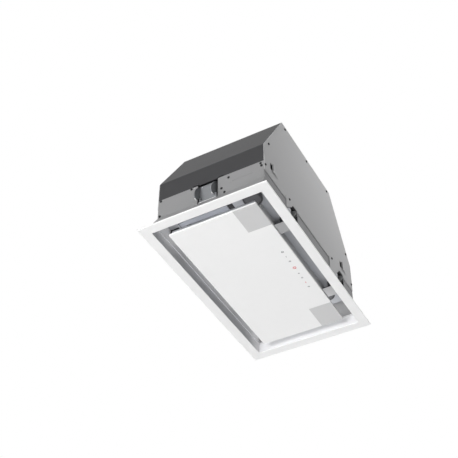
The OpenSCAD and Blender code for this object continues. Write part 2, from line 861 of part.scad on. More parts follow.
// Control box, open towards the cook, on the inside of the rear side panel
box_z0 = shell_z + box_up;
box_y0 = tray_y - box_depth;
module control_box() {
    color([0.78, 0.78, 0.76]) union() {
        difference() {
            block([box_x0, box_y0, box_z0], [box_x0 + box_l, tray_y, box_z0 + box_h]);
            block([box_x0 + box_wall, box_y0 - over, box_z0 + box_wall],
                [box_x0 + box_l - box_wall, tray_y - box_wall, box_z0 + box_h - box_wall]);
        }
        for (x = [post_in, box_l - post_in]) for (z = [post_in, box_h - post_in])
            rod_y(post_r, box_x0 + x, box_z0 + z, tray_y - box_wall - post_h,
                tray_y - box_wall / 2);
    }
}

module control_box_lid() {
    color([0.74, 0.74, 0.72])
        block([box_x0, box_y0 - lid_t, box_z0], [box_x0 + box_l, box_y0, box_z0 + box_h]);
}

// Board with its relays on the box's posts
module control_board() {
    y = tray_y - box_wall - post_h;
    color([0.1, 0.35, 0.18]) union() {
        block([box_x0 + board_edge, y - board_t, box_z0 + board_edge],
            [box_x0 + box_l - board_edge, y, box_z0 + box_h - board_edge]);
        for (i = [0:2])
            translate([box_x0 + post_in + i * (relay_l + board_edge), y - board_t - relay_h,
                box_z0 + box_h / 2])
                cube([relay_l, relay_h + board_t / 2, relay_w]);
    }
}

// Run capacitor of the motor, standing on the control box
module capacitor() {
    color([0.85, 0.85, 0.84])
        translate([box_x0 + capacitor_in, box_y0 + capacitor_in, box_z0 + box_h])
            cylinder(r = capacitor_r, h = capacitor_h);
}

// Gland for the mains lead, in the top
module cable_gland() {
    color([0.1, 0.1, 0.1])
        translate([gland_x_share * top_l / 2, gland_y_share * in_y, body_h]) difference() {
            union() {
                translate([0, 0, -sheet - gland_below]) cylinder(r = gland_r, h = sheet + gland_below + over);
                cylinder(r = gland_nut_r, h = gland_nut_h, $fn = 6);
                cylinder(r = gland_dome_r, h = gland_nut_h + gland_dome_h);
            }
            translate([0, 0, -sheet - gland_below - over])
                cylinder(r = cable_r,
                    h = sheet + gland_below + gland_nut_h + gland_dome_h + 2 * over);
        }
}

// Duct spigot: a flange on the top, a tube and the ledge that the flaps close on
module outlet_spigot() {
    r = spigot_d / 2;
    color([0.22, 0.22, 0.23]) difference() {
        union() {
            translate([0, 0, body_h]) cylinder(r = r + spigot_flange, h = spigot_flange_t);
            translate([0, 0, body_h]) cylinder(r = r, h = spigot_h);
        }
        difference() {
            translate([0, 0, body_h - over]) cylinder(r = r - spigot_wall, h = spigot_h + 2 * over);
            translate([0, 0, flap_z - flap_t / 2 - gap - ledge_t]) difference() {
                cylinder(r = r, h = ledge_t);
                translate([0, 0, -over])
                    cylinder(r = r - spigot_wall - ledge_w, h = ledge_t + 2 * over);
            }
        }
        rod_y(pin_r, 0, flap_z, -r - over, r + over);
    }
}

module flap_pin() {
    color([0.7, 0.7, 0.7]) rod_y(pin_r, 0, flap_z, -spigot_d / 2 + gap, spigot_d / 2 - gap);
}

// Left flap of the non-return valve, with two of the four knuckles on the pin
module flap() {
    edge = flap_knuckle_r + flap_knuckle_gap;
    color([0.3, 0.3, 0.31]) difference() {
        union() {
            translate([0, 0, flap_z - flap_t / 2]) difference() {
                cylinder(r = flap_r, h = flap_t);
                block([-edge, -flap_r - over, -over], [flap_r + over, flap_r + over, flap_t + over]);
            }
            for (y = [-2 * flap_knuckle_l, 0]) {
                rod_y(flap_knuckle_r, 0, flap_z, y + gap / 2, y + flap_knuckle_l - gap / 2);
                block([-edge - over, y + gap / 2, flap_z - flap_t / 2],
                    [0, y + flap_knuckle_l - gap / 2, flap_z + flap_t / 2]);
            }
        }
        rod_y(pin_r + run_gap, 0, flap_z, -flap_r, flap_r);
    }
}

// White glass that closes the recess but for the suction slot
module glass_panel() {
    color([0.96, 0.96, 0.96]) translate([0, 0, glass_z])
        rounded_plate(glass_l, glass_w, glass_t, glass_corner);
}

// Steel tray behind the glass, with openings over the lights and the touch keys
module panel_carrier() {
    color([0.6, 0.61, 0.63]) difference() {
        block([-carrier_x, -carrier_y, glass_top], [carrier_x, carrier_y, carrier_top]);
        block([-carrier_x + sheet, -carrier_y + sheet, glass_top + sheet],
            [carrier_x - sheet, carrier_y - sheet, carrier_top + over]);
        for (s = [-1, 1])
            translate([s * (glass_l / 2 - light_l / 2), -glass_w / 2 + light_w / 2, glass_top - over])
                translate([-s * carrier_inset / 2, carrier_inset / 2, 0])
                    block([-light_l / 2 + carrier_inset / 2 + light_lip,
                            -light_w / 2 + carrier_inset / 2 + light_lip, 0],
                        [light_l / 2 - carrier_inset / 2 - light_lip,
                            light_w / 2 - carrier_inset / 2 - light_lip, sheet + 2 * over]);
        block([-touch_l / 2, -touch_y - touch_w / 2, glass_top - over],
            [touch_l / 2, -touch_y + touch_w / 2, glass_top + sheet + over]);
    }
}

// Opal sheet over a light window, in the carrier
module light_diffuser(s) {
    color([0.85, 0.85, 0.84])
        translate([s * (carrier_x - sheet - gap - light_l / 2 + carrier_inset / 2),
            -carrier_y + sheet + gap + light_w / 2 - carrier_inset / 2, glass_top + sheet])
            rounded_plate(light_l - carrier_inset, light_w - carrier_inset, diffuser_t, glass_corner);
}

// Board with the touch keys' electronics, in the carrier
module touch_board() {
    y = -touch_y;
    l = touch_l + 2 * board_edge;
    w = touch_w + board_edge;
    color([0.1, 0.35, 0.18]) union() {
        block([-l / 2, y - w / 2, glass_top + sheet], [l / 2, y + w / 2, glass_top + sheet + board_t]);
        for (i = [-2:2])
            translate([i * l / 6 - chip_l / 2, y - chip_w / 2, glass_top + sheet + board_t / 2])
                cube([chip_l, chip_w, chip_h + board_t / 2]);
    }
}

// Hinge leaf on the back of the carrier, with its knuckle
module hinge_leaf(s) {
    color([0.5, 0.5, 0.51]) translate([s * hinge_x, 0, 0]) difference() {
        union() {
            block([-leaf_w / 2, carrier_y, glass_top + sheet],
                [leaf_w / 2, hinge_y - knuckle_r + sheet, hinge_z]);
            rod_x(knuckle_r, hinge_y, hinge_z, -leaf_w / 2, leaf_w / 2);
        }
        rod_x(pin_r + run_gap, hinge_y, hinge_z, -leaf_w / 2 - over, leaf_w / 2 + over);
    }
}

// Hinge bracket that hangs from the shelf behind the filter, with an ear each side of the leaf
module hinge_bracket(s) {
    color([0.5, 0.5, 0.51]) translate([s * hinge_x, 0, 0]) difference() {
        union() {
            for (side = [-1, 1])
                translate([side * (leaf_w / 2 + gap + ear_t / 2), 0, 0]) {
                    rod_x(knuckle_r, hinge_y, hinge_z, -ear_t / 2, ear_t / 2);
                    translate([-ear_t / 2, 0, 0]) rotate([quarter, 0, quarter]) linear_extrude(ear_t)
                        polygon([[hinge_y - knuckle_r, hinge_z], [hinge_y + knuckle_r, hinge_z],
                            [hinge_y - knuckle_r + stem_w + stem_lean, ceiling_z],
                            [hinge_y - knuckle_r + stem_lean, ceiling_z]]);
                }
            block([-bracket_flange / 2, hinge_y - over, ceiling_z - sheet],
                [bracket_flange / 2, hinge_y + bracket_depth, ceiling_z]);
        }
        rod_x(pin_r, hinge_y, hinge_z, -bracket_flange, bracket_flange);
    }
}

module hinge_pins() {
    half = leaf_w / 2 + gap + ear_t;
    color([0.7, 0.7, 0.7]) for (s = [-1, 1])
        rod_x(pin_r, hinge_y, hinge_z, s * hinge_x - half, s * hinge_x + half);
}

// Magnets on posts under the channel that hold the steel carrier shut
module catch_magnets() {
    color([0.3, 0.3, 0.3]) for (s = [-1, 1])
        block([s * magnet_apart / 2 - magnet_w / 2, channel_y0 + channel_w - magnet_d, carrier_top + gap],
            [s * magnet_apart / 2 + magnet_w / 2, channel_y0 + channel_w, ceiling_z - channel_h]);
}

// Point on a curve that starts at p[0] towards p[1] and ends at p[3] from p[2]
function on_curve(p, t) = pow(1 - t, 3) * p[0] + 3 * pow(1 - t, 2) * t * p[1]
    + 3 * (1 - t) * pow(t, 2) * p[2] + pow(t, 3) * p[3];

// Side outline of a wing of the left clamp: proud at its foot, flush at its hub
wing_start = [-(end_x - plate_in), plate_low + plate_h];
wing_curve = [wing_start, [-(end_x + 5), pivot_z], [-(end_x + wing_out + 12), plate_low + 8],
    [-(end_x + wing_out - 8), plate_low]];
wing_back = -(end_x - plate_in) + flange_back;
wing_outline = concat([for (i = [0:wing_steps]) on_curve(wing_curve, i / wing_steps)],
    [[-(end_x + wing_out - 11.5), plate_low + 2], [-(end_x + 4.5), plate_low + 9],
    [-(end_x + 1.5), plate_low + 15], [-(end_x - plate_in), plate_low + 16],
    [-(end_x - plate_in), plate_low], [wing_back, plate_low], [wing_back, pivot_z - 2 * hub_r],
    [pivot_x, pivot_z - hub_r], [pivot_x, pivot_z + hub_r]]);

// Sprung end clamp: two wings and a plate with a foot, on a pin along Y at the top
module end_clamp() {
    plate_x = -(end_x - plate_in);
    color([0.58, 0.62, 0.66]) difference() {
        union() {
            for (y = [clamp_y0, clamp_y1 - cheek_t]) {
                along_y(wing_outline, y, y + cheek_t);
                rod_y(hub_r, pivot_x, pivot_z, y, y + cheek_t);
            }
            block([plate_x, clamp_y0, plate_low], [plate_x + sheet, clamp_y1, plate_low + plate_h]);
            block([-end_x - foot_out, clamp_y0, plate_low],
                [plate_x + sheet, clamp_y1, plate_low + sheet]);
        }
        rod_y(pin_r + run_gap, pivot_x, pivot_z, clamp_y0 - over, clamp_y1 + over);
        for (y = [clamp_y0 + plate_hole_in, clamp_y1 - plate_hole_in])
            rod_x(pin_r, y, plate_low + plate_hole_up, plate_x - over, plate_x + sheet + over);
    }
}

module end_clamp_pin() {
    rod_y(pin_r, pivot_x, pivot_z, opening_y0 - cheek_t, opening_y1 + cheek_t);
}

module end_clamp_pins() {
    color([0.6, 0.6, 0.6]) {
        end_clamp_pin();
        turned() end_clamp_pin();
    }
}

module end_clamp_spring() {
    translate([pivot_x, clamp_mid_y + clamp_pitch * clamp_turns / 2, pivot_z])
        rotate([quarter, 0, 0]) coil(clamp_spring_r, clamp_wire_r, clamp_pitch, clamp_turns);
}

module end_clamp_springs() {
    color([0.75, 0.75, 0.76]) {
        end_clamp_spring();
        turned() end_clamp_spring();
    }
}

// Sprung side claw on a pin along X, its nose out of the window
claw_y = -(side_y - claw_in);
module claw(x) {
    color([0.72, 0.72, 0.72]) difference() {
        union() {
            rod_x(claw_hub_r, claw_y, claw_z, x - claw_t / 2, x + claw_t / 2);
            rod_x(nose_r, -(side_y + claw_out - nose_r), claw_z + nose_up,
                x - claw_t / 2, x + claw_t / 2);
        }
        rod_x(pin_r + run_gap, claw_y, claw_z, x - claw_t, x + claw_t);
    }
}

// Cage behind a window, open towards the tray wall
module claw_housing(x, depth, lip) {
    difference() {
        union() {
            block([x - cage_w / 2, -in_y, cage_low],
                [x + cage_w / 2, -in_y + depth, cage_low + cage_h]);
            block([x - cage_w / 2, -in_y, cage_low],
                [x + cage_w / 2, -in_y + depth + lip, cage_low + cage_wall]);
        }
        block([x - cage_w / 2 + cage_wall, -in_y - over, cage_low + cage_wall],
            [x + cage_w / 2 - cage_wall, -in_y + depth - cage_wall,
                cage_low + cage_h - cage_wall]);
        rod_x(pin_r, claw_y, claw_z, x - cage_w, x + cage_w);
    }
}

module claw_housings() {
    color([0.68, 0.68, 0.69]) for (x = claw_xs) {
        claw_housing(x, cage_depth, cage_lip);
        turned() claw_housing(x, cage_rear_depth, 0);
    }
}

module claw_pins() {
    color([0.6, 0.6, 0.6]) for (x = claw_xs) {
        rod_x(pin_r, claw_y, claw_z, x - cage_w / 2, x + cage_w / 2);
        turned() rod_x(pin_r, claw_y, claw_z, x - cage_w / 2, x + cage_w / 2);
    }
}

module claw_spring(x) {
    room = cage_w / 2 - cage_wall - claw_t / 2;
    translate([x + claw_t / 2 + (room - claw_pitch * claw_turns) / 2, claw_y, claw_z])
        rotate([0, quarter, 0]) coil(claw_spring_r, claw_wire_r, claw_pitch, claw_turns);
}

module claw_springs() {
    color([0.75, 0.75, 0.76]) for (x = claw_xs) {
        claw_spring(x);
        turned() claw_spring(x);
    }
}

// Black screws of one long side and of one end
module side_screw_set() {
    for (p = side_screws) {
        rod_y(screw_head_d / 2, p[0], p[1], -side_y - head_h, -side_y);
        rod_y(screw_r, p[0], p[1], -side_y, -side_y + grip);
    }
}
module end_screw_set() {
    for (p = end_screws) {
        rod_x(screw_head_d / 2, p[0], p[1], -end_x - head_h, -end_x);
        rod_x(screw_r, p[0], p[1], -end_x, -end_x + grip);
    }
}

module housing_screws() {
    color([0.08, 0.08, 0.08]) union() {
        side_screw_set();
        end_screw_set();
        turned() side_screw_set();
        turned() end_screw_set();
    }
}

trim_frame();
recess_collar();
end_wall();  // end_wall_left
turned() end_wall();  // end_wall_right
tray_wall();  // tray_wall_front
turned() tray_wall();  // tray_wall_rear
side_panel();  // side_panel_front
turned() side_panel();  // side_panel_rear
upper_shell();
ceiling_plate();
wire_channel();
led_driver();
latch_rail();
filter_frame();
filter_mesh();
filter_latch();
led_lamp(-1);  // led_lamp_left
led_lamp(1);  // led_lamp_right
lamp_lens(-1);  // lamp_lens_left
lamp_lens(1);  // lamp_lens_right
scroll_half();  // scroll_front
mirror([0, 1, 0]) scroll_half();  // scroll_rear
inlet_ring();  // inlet_ring_front
mirror([0, 1, 0]) inlet_ring();  // inlet_ring_rear
impeller();
motor_shaft();
motor();
motor_bracket();
control_box();
control_box_lid();
control_board();
capacitor();
cable_gland();
outlet_spigot();
flap_pin();
flap();  // flap_left
turned() flap();  // flap_right
glass_panel();
panel_carrier();
touch_board();
light_diffuser(-1);  // light_diffuser_left
light_diffuser(1);  // light_diffuser_right
hinge_leaf(-1);  // hinge_leaf_left
hinge_leaf(1);  // hinge_leaf_right
hinge_bracket(-1);  // hinge_bracket_left
hinge_bracket(1);  // hinge_bracket_right
hinge_pins();
catch_magnets();
end_clamp();  // end_clamp_left
turned() end_clamp();  // end_clamp_right
end_clamp_pins();
end_clamp_springs();
claw(claw_xs[0]);  // claw_front_left
claw(claw_xs[1]);  // claw_front_right
turned() claw(claw_xs[1]);  // claw_rear_left
turned() claw(claw_xs[0]);  // claw_rear_right
claw_housings();
claw_pins();
claw_springs();
housing_screws();
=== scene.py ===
# %% [markdown]
# A built-in canopy hood, seen from below as the cook sees it before it goes into the cupboard.
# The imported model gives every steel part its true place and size. This lesson dresses it: it
# rounds the sheet edges, prints the touch keys, weaves the grease filter, drives the screws, and
# gives every surface a finish with its own grain. Everything is in metres, with Z up and the
# cook standing at -Y.
# %% Load the frame
import json
import math

import bmesh
import bpy
from mathutils import Matrix, Vector


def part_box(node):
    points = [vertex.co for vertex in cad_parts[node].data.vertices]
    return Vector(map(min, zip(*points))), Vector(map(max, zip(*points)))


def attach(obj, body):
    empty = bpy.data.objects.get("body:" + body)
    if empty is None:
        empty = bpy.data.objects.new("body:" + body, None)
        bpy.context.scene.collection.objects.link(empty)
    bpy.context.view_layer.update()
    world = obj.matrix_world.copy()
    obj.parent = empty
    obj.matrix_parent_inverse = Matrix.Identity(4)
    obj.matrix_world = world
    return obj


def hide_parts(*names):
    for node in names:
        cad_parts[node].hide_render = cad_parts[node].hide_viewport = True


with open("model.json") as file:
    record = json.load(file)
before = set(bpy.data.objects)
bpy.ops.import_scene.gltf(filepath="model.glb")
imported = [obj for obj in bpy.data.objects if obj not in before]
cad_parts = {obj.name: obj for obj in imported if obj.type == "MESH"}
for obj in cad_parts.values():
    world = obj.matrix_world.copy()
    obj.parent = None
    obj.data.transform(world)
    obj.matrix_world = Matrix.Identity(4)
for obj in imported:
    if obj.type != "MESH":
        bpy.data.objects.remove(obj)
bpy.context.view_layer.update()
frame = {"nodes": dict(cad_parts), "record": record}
nodes = frame["nodes"]
body_of_node = {
    n: b for b, names in frame["record"]["behaviour"]["bodies"].items() for n in names
}
slot_of_node = {s["node"]: s["material_slot"] for s in frame["record"]["subparts"]}
MM = 0.001

# %% [markdown]
# The photograph was taken from below the hood's front left corner, with a 75 mm lens about two
# metres away. The camera's axes are written out instead of aimed at a target, because the real
# one didn't point at the middle of the hood. Blender's camera looks along its own -Z.
# %% Camera
LENS = 75.18
SENSOR_WIDTH = 36
FAR_CLIP = 100
camera_place = Vector((-1.4231, -0.7099, -1.3174))
camera_right = Vector((0.48108, -0.87667, 0.00406))
camera_ahead = Vector((0.64276, 0.35586, 0.67840))
camera_up = camera_right.cross(camera_ahead)
camera_data = bpy.data.cameras.new("hood_camera")
camera_data.sensor_width = SENSOR_WIDTH
camera_data.lens = LENS
camera_data.clip_end = FAR_CLIP
camera = bpy.data.objects.new("hood_camera", camera_data)
camera.matrix_world = Matrix.Translation(camera_place) @ Matrix(
    (camera_right, camera_up, -camera_ahead)
).transposed().to_4x4()
bpy.context.scene.collection.objects.link(camera)
bpy.context.scene.camera = camera
bpy.context.scene.view_settings.view_transform = "Standard"
print("camera stands", round(camera_place.length, 3), "m from the hood's origin")

# %% [markdown]
# The hood hangs in a white room. What the camera, a mirror or glass sees of the room is plain
# white, while the light that the room gives to surfaces is weaker, so white enamel keeps its
# shade against the background. The floor lies below the camera, which looks up at the hood.
# %% White room
ROOM_LIGHT = 0.15
FLOOR_Z = -1.62
FLOOR_SIZE = 30
FLOOR_GLOW = 0.93
SEEN_PAPER = 0.08
LIT_PAPER = 0.8
WHITE = (1, 1, 1, 1)


def seen_directly(tree):
    """1 for camera, glossy and transmission rays, and 0 for the rays that carry light."""
    path = tree.nodes.new("ShaderNodeLightPath")
    total = path.outputs["Is Camera Ray"]
    for kind in ("Is Glossy Ray", "Is Transmission Ray"):
        most = tree.nodes.new("ShaderNodeMath")
        most.operation = "MAXIMUM"
        tree.links.new(total, most.inputs[0])
        tree.links.new(path.outputs[kind], most.inputs[1])
        total = most.outputs[0]
    return total


def lit_or_seen(tree, lit, seen, output):
    """Gives the surface one shader for the rays that carry light and one for those that see."""
    mix = tree.nodes.new("ShaderNodeMixShader")
    out = tree.nodes.new(output)
    tree.links.new(seen_directly(tree), mix.inputs[0])
    tree.links.new(lit.outputs[0], mix.inputs[1])
    tree.links.new(seen.outputs[0], mix.inputs[2])
    tree.links.new(mix.outputs[0], out.inputs["Surface"])


def paper(tree, grey):
    diffuse = tree.nodes.new("ShaderNodeBsdfDiffuse")
    diffuse.inputs["Color"].default_value = (grey, grey, grey, 1)
    return diffuse


world = bpy.data.worlds.new("white_room")
bpy.context.scene.world = world
world.use_nodes = True
tree = world.node_tree
tree.nodes.clear()
lit, white = (tree.nodes.new("ShaderNodeBackground") for _ in range(2))
lit.inputs["Strength"].default_value = ROOM_LIGHT
white.inputs["Strength"].default_value = 1.0
for background in (lit, white):
    background.inputs["Color"].default_value = WHITE
lit_or_seen(tree, lit, white, "ShaderNodeOutputWorld")

floor_white = bpy.data.materials.new("floor_white")
floor_white.use_nodes = True
tree = floor_white.node_tree
tree.nodes.clear()
glow = tree.nodes.new("ShaderNodeEmission")
glow.inputs["Strength"].default_value = FLOOR_GLOW
both = tree.nodes.new("ShaderNodeAddShader")
tree.links.new(glow.outputs[0], both.inputs[0])
tree.links.new(paper(tree, SEEN_PAPER).outputs[0], both.inputs[1])
lit_or_seen(tree, paper(tree, LIT_PAPER), both, "ShaderNodeOutputMaterial")

bpy.ops.object.select_all(action="DESELECT")
bpy.ops.mesh.primitive_plane_add(size=FLOOR_SIZE, location=(0, 0, FLOOR_Z))
floor = bpy.context.object
floor.name = "floor"
floor.data.materials.append(floor_white)

# %% [markdown]
# Four soft lamps in the room give the shades of the photograph: the front panel is the brightest
# of the upright faces, the left end is darker, partly through the painted shade of the end walls'
# zinc, the slopes catch a little more than the upright ends, and the white underside is nearly as
# bright as the room. Four weak ones stand behind the glass, where the recess is lit evenly in the
# photograph. A lamp with one size is a disc, and one with two is a rectangle.
# %% Lamps
# name: place, target, size, power in watts
LAMPS = {
    "high_front_lamp": ((0.55, -0.70, 0.90), (0, -0.12, 0.2), 0.6, 9.5),
    "low_left_lamp": ((-3.1, 0.3, -1.45), (0, 0, 0), 1.8, 195),
    "under_lamp": ((1.3, 0.0, -1.45), (0, 0, 0), 1.8, 18),
    "rear_lamp": ((1.8, 2.8, 0.8), (0, 0, 0.15), 2.2, 55),
    "recess_lamp": ((0, -0.002, 0.0185), (0, 0.02, 1), (0.45, 0.20), 0.28),
    "recess_left_lamp": ((-0.19, 0.045, 0.0185), (-0.19, 0.2, 1), (0.05, 0.13), 0.019),
    "recess_right_lamp": ((0.195, -0.070, 0.0185), (0.195, -0.10, 0.06), (0.04, 0.05), 0.009),
    "recess_end_lamp": ((0.196, 0, 0.034), (0.238, 0, 0.028), (0.22, 0.028), 0.040),
}


def area_lamp(name, place, target, size, power):
    data = bpy.data.lights.new(name, "AREA")
    if isinstance(size, tuple):
        data.shape = "RECTANGLE"
        data.size, data.size_y = size
    else:
        data.shape = "DISK"
        data.size = size
    data.energy = power
    lamp = bpy.data.objects.new(name, data)
    lamp.location = place
    lamp.rotation_euler = (Vector(target) - Vector(place)).to_track_quat("-Z", "Y").to_euler()
    bpy.context.scene.collection.objects.link(lamp)
    lamp.visible_glossy = False
    lamp.visible_camera = False


for name, row in LAMPS.items():
    area_lamp(name, *row)
print("lamps", sorted(LAMPS))

# %% [markdown]
# Finishes share three effects, each built once as a group of nodes. Grain along X or along Y is
# a noise stretched along one direction, as rolling and brushing leave it in steel. Speckle is an
# even, fine noise, as in powder coat or moulded plastic. Each puts out a value around one half
# that a material bends to its own use.
# %% Shared effects
GRAIN_STRETCH = 0.03
GRAIN_SCALE, GRAIN_DETAIL = 400.0, 3
SPECKLE_SCALE, SPECKLE_DETAIL = 900.0, 2


def effect_group(name, scale, stretch, detail):
    """A noise on Object coordinates, drawn out along X, Y and Z by the three shares."""
    group = bpy.data.node_groups.new(name, "ShaderNodeTree")
    asked = group.interface.new_socket("Scale", in_out="INPUT", socket_type="NodeSocketFloat")
    asked.default_value = scale
    group.interface.new_socket("Value", in_out="OUTPUT", socket_type="NodeSocketFloat")
    given = group.nodes.new("NodeGroupInput")
    made = group.nodes.new("NodeGroupOutput")
    place = group.nodes.new("ShaderNodeTexCoord")
    mapping = group.nodes.new("ShaderNodeMapping")
    mapping.inputs["Scale"].default_value = stretch
    noise = group.nodes.new("ShaderNodeTexNoise")
    noise.inputs["Detail"].default_value = detail
    group.links.new(place.outputs["Object"], mapping.inputs["Vector"])
    group.links.new(mapping.outputs[0], noise.inputs["Vector"])
    group.links.new(given.outputs["Scale"], noise.inputs["Scale"])
    group.links.new(noise.outputs[0], made.inputs["Value"])
    return group


GROUPS = {
    "grain_x": effect_group("grain_along_x", GRAIN_SCALE, (GRAIN_STRETCH, 1, 1), GRAIN_DETAIL),
    "grain_y": effect_group("grain_along_y", GRAIN_SCALE, (1, GRAIN_STRETCH, 1), GRAIN_DETAIL),
    "speckle": effect_group("speckle", SPECKLE_SCALE, (1, 1, 1), SPECKLE_DETAIL),
}
print("effects", sorted(GROUPS))

# %% [markdown]
# A finish is a Principled shader whose colour and roughness wander a little with an effect, and
# whose normal is shaken by it. The numbers that are the same all over the surface, such as
# Metallic, are set on the shader itself.
# %% A finish from an effect
VALUE_LOW, VALUE_HIGH = 0.25, 0.75
DENT = 0.0005


def wander(tree, value, low, high):
    """Maps an effect's value, which stays near one half, onto low to high."""
    bend = tree.nodes.new("ShaderNodeMapRange")
    bend.inputs["From Min"].default_value = VALUE_LOW
    bend.inputs["From Max"].default_value = VALUE_HIGH
    bend.inputs["To Min"].default_value = low
    bend.inputs["To Max"].default_value = high
    tree.links.new(value, bend.inputs["Value"])
    return bend.outputs["Result"]


def shaded(tree, color, value, share):
    """The colour, made darker and lighter by the share as the value goes from low to high."""
    scale = wander(tree, value, 1 - share, 1 + share)
    tint = tree.nodes.new("ShaderNodeVectorMath")
    tint.operation = "SCALE"
    tint.inputs[0].default_value = color
    tree.links.new(scale, tint.inputs["Scale"])
    return tint.outputs[0]


def finish(name, color, effect, scale, rough, shade, bump, metallic=0.0, **plain):
    """color is linear. rough is (low, high). plain gives other sockets of the shader."""
    material = bpy.data.materials.new(name)
    material.use_nodes = True
    tree = material.node_tree
    shader = tree.nodes["Principled BSDF"]
    group = tree.nodes.new("ShaderNodeGroup")
    group.node_tree = GROUPS[effect]
    group.inputs["Scale"].default_value = scale
    value = group.outputs["Value"]
    tree.links.new(shaded(tree, color, value, shade), shader.inputs["Base Color"])
    tree.links.new(wander(tree, value, *rough), shader.inputs["Roughness"])
    dent = tree.nodes.new("ShaderNodeBump")
    dent.inputs["Strength"].default_value = bump
    dent.inputs["Distance"].default_value = DENT
    tree.links.new(value, dent.inputs["Height"])
    tree.links.new(dent.outputs[0], shader.inputs["Normal"])
    shader.inputs["Metallic"].default_value = metallic
    for socket, setting in plain.items():
        shader.inputs[socket.replace("_", " ")].default_value = setting
    return material


# %% [markdown]
# Most finishes belong to a slot of the model. Some nodes of one slot look different in the
# photograph, and much of that is light and shade painted into their colours: the collar of the
# recess is a lighter steel as painted light, the wire channel a lighter grey as painted light, the
# band under the side panels and the end walls are darker as painted shade, and the lamps' lenses
# are smoked. LOOKS names their finishes.
# %% Table of finishes
# slot or look: name, linear colour, effect, fineness, roughness, shade, bump, metallic
SURFACES = {
    "white_enamel": ("enamel", (0.85, 0.85, 0.85), "speckle", 500, (0.28, 0.36), 0.008, 0.03, 0),
    "stainless": ("stainless", (0.44, 0.45, 0.475), "grain_x", 700, (0.34, 0.48), 0.04, 0.05, 0.25),
    "zinc_steel": (
        "zinc_sheet", (0.44, 0.44, 0.445), "speckle", 420, (0.46, 0.58), 0.018, 0.02, 0.12
    ),
    "dark_shell": (
        "dark_powder_coat", (0.044, 0.044, 0.046), "speckle", 1100, (0.46, 0.60), 0.05, 0.08, 0
    ),
    # painted light: a lighter steel for the collar, the tray walls' insides and the clamp feet
    "steel_painted_light": (
        "steel_painted_light", (0.66, 0.66, 0.67), "grain_x", 700, (0.40, 0.52), 0.02, 0.03, 0.1
    ),
    # painted shade: a darker steel for the outer band of the tray walls
    "steel_painted_shade": (
        "steel_painted_shade", (0.19, 0.19, 0.195), "grain_x", 700, (0.42, 0.54), 0.03, 0.04, 0.15
    ),
    # painted shade: a darker copy of the zinc sheet for the end walls
    "zinc_painted_shade": ("zinc_painted_shade", (0.25, 0.25, 0.253), "speckle", 420, (0.42, 0.54), 0.018, 0.02, 0.25),
    # painted light: a grey lightened for the wire channel, which little light reaches
    "channel_painted_light": (
        "channel_painted_light", (0.40, 0.40, 0.405), "speckle", 1100, (0.44, 0.56), 0.04, 0.06, 0
    ),
    "claw_disc": ("claw_disc", (0.52, 0.52, 0.53), "speckle", 900, (0.34, 0.46), 0.03, 0.03, 0.2),
    "smoked_lens": (
        "smoked_lens", (0.10, 0.10, 0.105), "speckle", 700, (0.16, 0.24), 0.03, 0.02, 0
    ),
    # a dark rim for the claws, and painted shade inside the claw cages
    "dark_rims_and_painted_shade": (
        "dark_rims_and_painted_shade", (0.022, 0.022, 0.024), "speckle", 1400, (0.40, 0.52), 0.05, 0.06, 0
    ),
    "clamp_steel": (
        "clamp_steel", (0.20, 0.207, 0.217), "grain_y", 600, (0.34, 0.46), 0.05, 0.05, 0.3
    ),
    "bright_pins": ("turned_pin", (0.55, 0.55, 0.56), "grain_x", 900, (0.18, 0.28), 0.04, 0.03, 1),
    "spring_steel": (
        "spring_wire", (0.50, 0.50, 0.51), "speckle", 1500, (0.20, 0.32), 0.05, 0.03, 1
    ),
    "black_screws": (
        "blackened_screw", (0.018, 0.018, 0.02), "speckle", 1800, (0.30, 0.44), 0.10, 0.04, 0.3
    ),
    "filter_aluminium": (
        "filter_aluminium", (0.46, 0.48, 0.53), "grain_x", 800, (0.30, 0.44), 0.06, 0.05, 0.5
    ),
    "black_plastic": (
        "black_plastic", (0.022, 0.022, 0.024), "speckle", 1400, (0.40, 0.52), 0.06, 0.10, 0
    ),
    "dark_plastic": (
        "dark_plastic", (0.045, 0.045, 0.048), "speckle", 1200, (0.44, 0.56), 0.06, 0.10, 0
    ),
    "lamp_body": ("lamp_body", (0.05, 0.05, 0.053), "speckle", 1300, (0.34, 0.46), 0.05, 0.08, 0),
    "opal": ("opal", (0.72, 0.72, 0.70), "speckle", 700, (0.18, 0.26), 0.02, 0.02, 0),
    "circuit_board": (
        "circuit_board", (0.02, 0.11, 0.045), "speckle", 300, (0.30, 0.42), 0.12, 0.05, 0
    ),
    "grey_plastic": (
        "grey_plastic", (0.42, 0.42, 0.41), "speckle", 1200, (0.40, 0.50), 0.03, 0.08, 0
    ),
    "motor_case": (
        "motor_case", (0.12, 0.12, 0.125), "speckle", 900, (0.36, 0.48), 0.06, 0.08, 0.2
    ),
    "capacitor_can": (
        "capacitor_can", (0.55, 0.55, 0.56), "grain_x", 500, (0.22, 0.34), 0.05, 0.04, 0.9
    ),
    "magnet": ("magnet_holder", (0.05, 0.05, 0.052), "speckle", 900, (0.36, 0.46), 0.04, 0.05, 0),
    "grey_ink": ("grey_ink", (0.10, 0.10, 0.11), "speckle", 2000, (0.3, 0.4), 0.05, 0.02, 0),
    "red_ink": ("red_ink", (0.60, 0.02, 0.02), "speckle", 2000, (0.3, 0.4), 0.05, 0.02, 0),
}
SPECULAR = {"zinc_steel": 0.3, "dark_shell": 0.15}
LOOKS = {
    "wire_channel": "channel_painted_light",
    "lamp_lens_left": "smoked_lens",
    "lamp_lens_right": "smoked_lens",
    "claw_front_left": "claw_disc",
    "claw_front_right": "claw_disc",
    "claw_rear_left": "claw_disc",
    "claw_rear_right": "claw_disc",
    "recess_collar": "steel_painted_light",
    "tray_wall_front": "steel_painted_shade",
    "tray_wall_rear": "steel_painted_shade",
    "end_wall_left": "zinc_painted_shade",
    "end_wall_right": "zinc_painted_shade",
}
FINISHES = {name: finish(*row) for name, row in SURFACES.items()}
